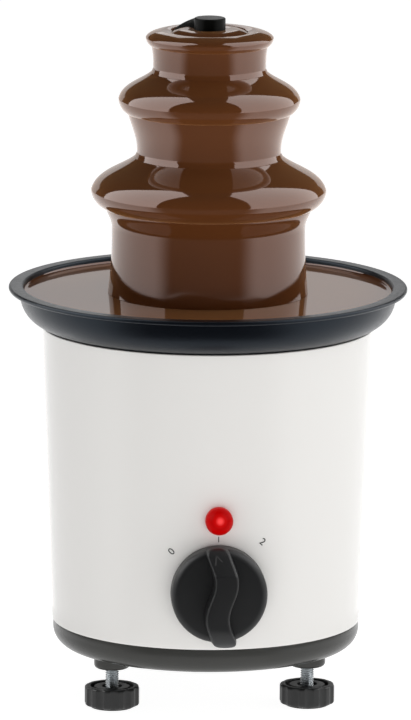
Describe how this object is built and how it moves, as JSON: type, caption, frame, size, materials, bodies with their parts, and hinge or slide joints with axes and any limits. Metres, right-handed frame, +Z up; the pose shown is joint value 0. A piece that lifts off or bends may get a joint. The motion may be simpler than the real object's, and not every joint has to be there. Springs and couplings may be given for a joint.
{
  "type": "chocolate fountain",
  "caption": "Tabletop chocolate fountain: heated bowl on a tapered casing with levelling feet, lift-off tiered tower and a motor-driven auger that lifts the chocolate.",
  "frame": {"origin": "on the tower's axis, on the plane that the three foot pads stand on", "axes": "+Z up along the tower's axis, -Y towards the user, through the knob and the lamp, +X to the user's right"},
  "size_m": [0.178, 0.1786, 0.3074],
  "materials": {
    "black_plastic": "moulded, satin",
    "pad_rubber": "matt",
    "zinc_steel": "zinc plated",
    "brass": "turned",
    "white_enamel": "gloss stove enamel",
    "bowl_coating": "satin non-stick coating",
    "silicone": "matt",
    "motor_steel": "pressed sheet",
    "fibre_board": "laminate",
    "copper_wire": "enamelled winding",
    "gear_nylon": "moulded",
    "magnet": "sintered",
    "stainless": "polished",
    "heater_sheath": "drawn tube",
    "pale_plastic": "moulded",
    "red_lens": "clear red moulding",
    "milk_chocolate": "molten, glossy",
    "wire_sleeve": "extruded"
  },
  "bodies": {
    "base": {"base_pan": "black_plastic", "cord_gland": "black_plastic", "gland_nut": "black_plastic", "tie_bolts": "zinc_steel", "motor_screws": "zinc_steel", "clamp_screws": "zinc_steel", "lower_spacers": "zinc_steel", "upper_spacers": "zinc_steel", "switch_nut": "zinc_steel", "lamp_clip": "zinc_steel", "motor_bracket": "zinc_steel", "heater_clamp": "zinc_steel", "foot_inserts": "brass", "shaft_bush": "brass", "casing": "white_enamel", "bowl": "bowl_coating", "bowl_seal": "silicone", "shaft_seal": "silicone", "motor_can": "motor_steel", "motor_cover": "motor_steel", "gear_plate": "fibre_board", "motor_coil": "copper_wire", "gear_pins": "stainless", "heater_ring": "heater_sheath", "thermostat": "pale_plastic", "thermal_fuse": "pale_plastic", "switch_body": "pale_plastic", "terminal_block": "pale_plastic", "lamp_holder": "pale_plastic", "lamp_lens": "red_lens", "chocolate_pool": "milk_chocolate", "motor_leads": "wire_sleeve", "heater_leads": "wire_sleeve", "lamp_leads": "wire_sleeve"},
    "tower": {"tower_tube": "stainless", "lower_tier": "stainless", "upper_tier": "stainless", "top_cup": "stainless", "top_chocolate": "milk_chocolate", "upper_chocolate": "milk_chocolate", "lower_chocolate": "milk_chocolate"},
    "auger": {"auger_core": "black_plastic", "auger_flight": "black_plastic", "drive_shaft": "stainless", "drive_pin": "stainless", "shaft_coupling": "stainless", "output_gear": "gear_nylon"},
    "idler": {"idler_gear": "gear_nylon"},
    "rotor": {"rotor": "magnet"},
    "knob": {"control_knob": "black_plastic", "switch_spindle": "stainless"},
    "pad_left": {"foot_pad_left": "pad_rubber"},
    "foot_left": {"foot_knob_left": "black_plastic", "foot_rod_left": "zinc_steel"},
    "pad_right": {"foot_pad_right": "pad_rubber"},
    "foot_right": {"foot_knob_right": "black_plastic", "foot_rod_right": "zinc_steel"},
    "pad_rear": {"foot_pad_rear": "pad_rubber"},
    "foot_rear": {"foot_knob_rear": "black_plastic", "foot_rod_rear": "zinc_steel"}
  },
  "joints": [
    {"name": "tower_lift", "type": "slide", "parent": "base", "child": "tower", "axis": [0, 0, 1], "range_m": [0, 0.165]},
    {"name": "auger_spin", "type": "hinge", "parent": "base", "child": "auger", "pos_m": [0, 0, 0.15], "axis": [0, 0, 1], "continuous": true},
    {"name": "idler_spin", "type": "hinge", "parent": "base", "child": "idler", "pos_m": [0.01255, 0.00719, 0.112], "axis": [0, 0, 1], "continuous": true},
    {"name": "rotor_spin", "type": "hinge", "parent": "base", "child": "rotor", "pos_m": [0, 0.01, 0.1], "axis": [0, 0, 1], "continuous": true},
    {"name": "knob_turn", "type": "hinge", "parent": "base", "child": "knob", "pos_m": [0, -0.0716, 0.062], "axis": [0, 1, 0], "range_deg": [-45, 45]},
    {"name": "left_foot_level", "type": "slide", "parent": "base", "child": "pad_left", "axis": [0, 0, 1], "range_m": [-0.0062, 0.0067]},
    {"name": "left_foot_turn", "type": "hinge", "parent": "pad_left", "child": "foot_left", "pos_m": [-0.04373, -0.02525, 0.005], "axis": [0, 0, 1], "range_deg": [-2160, 2340]},
    {"name": "right_foot_level", "type": "slide", "parent": "base", "child": "pad_right", "axis": [0, 0, 1], "range_m": [-0.0062, 0.0067]},
    {"name": "right_foot_turn", "type": "hinge", "parent": "pad_right", "child": "foot_right", "pos_m": [0.04373, -0.02525, 0.005], "axis": [0, 0, 1], "range_deg": [-2160, 2340]},
    {"name": "rear_foot_level", "type": "slide", "parent": "base", "child": "pad_rear", "axis": [0, 0, 1], "range_m": [-0.0062, 0.0067]},
    {"name": "rear_foot_turn", "type": "hinge", "parent": "pad_rear", "child": "foot_rear", "pos_m": [0, 0.0505, 0.005], "axis": [0, 0, 1], "range_deg": [-2160, 2340]}
  ],
  "couplings": [
    {"joint": "idler_spin", "follows": "rotor_spin", "ratio": -0.33333},
    {"joint": "auger_spin", "follows": "rotor_spin", "ratio": 0.11111},
    {"joint": "left_foot_level", "follows": "left_foot_turn", "m_per_rad": 0.00015915},
    {"joint": "right_foot_level", "follows": "right_foot_turn", "m_per_rad": 0.00015915},
    {"joint": "rear_foot_level", "follows": "rear_foot_turn", "m_per_rad": 0.00015915}
  ]
}
